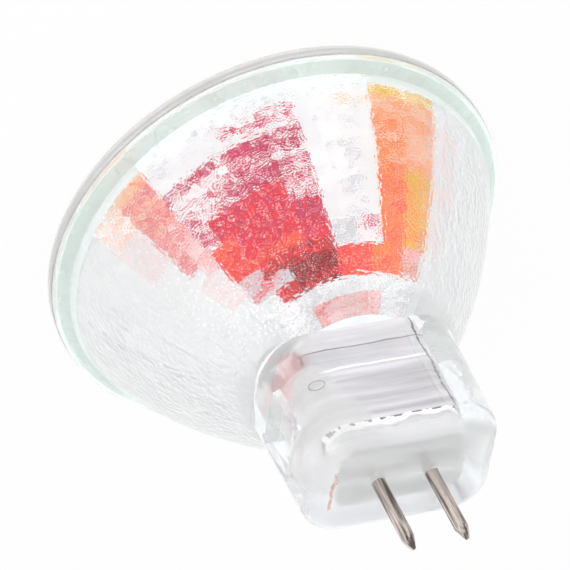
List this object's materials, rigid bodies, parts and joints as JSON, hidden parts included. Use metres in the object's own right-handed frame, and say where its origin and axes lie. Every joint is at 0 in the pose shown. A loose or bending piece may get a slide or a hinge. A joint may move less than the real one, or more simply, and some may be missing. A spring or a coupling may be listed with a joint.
{
  "type": "halogen reflector bulb",
  "caption": "Halogen reflector bulb: clear pressed-glass bowl with facets inside and a block-shaped glass base, flat front glass, quartz capsule, and a pair of contact pins.",
  "frame": {"origin": "centre of the outer face of the front glass, on which the bulb rests", "axes": "+Z from the front glass to the contact pins, along the lamp's axis; X along the line of the two pins"},
  "size_m": [0.035, 0.035, 0.0328],
  "materials": {
    "pressed_glass": "clear pressed glass, fine hammered skin outside, coated facets inside",
    "cover_glass": "clear flat glass, ground edge",
    "quartz": "clear fused quartz",
    "clear_bond": "clear silicone",
    "tungsten": "grey tungsten wire",
    "lead_metal": "molybdenum",
    "pin_metal": "plated wire, drawn lengthwise",
    "cement": "white ceramic cement"
  },
  "bodies": {
    "root": {"front_glass": "cover_glass", "front_glass_bond": "clear_bond", "reflector_glass": "pressed_glass", "quartz_capsule": "quartz", "filament": "tungsten", "base_cement": "cement", "contact_pin_left": "pin_metal", "inner_lead_left": "lead_metal", "molybdenum_foil_left": "lead_metal", "outer_lead_left": "lead_metal", "contact_pin_right": "pin_metal", "inner_lead_right": "lead_metal", "molybdenum_foil_right": "lead_metal", "outer_lead_right": "lead_metal"}
  },
  "joints": []
}
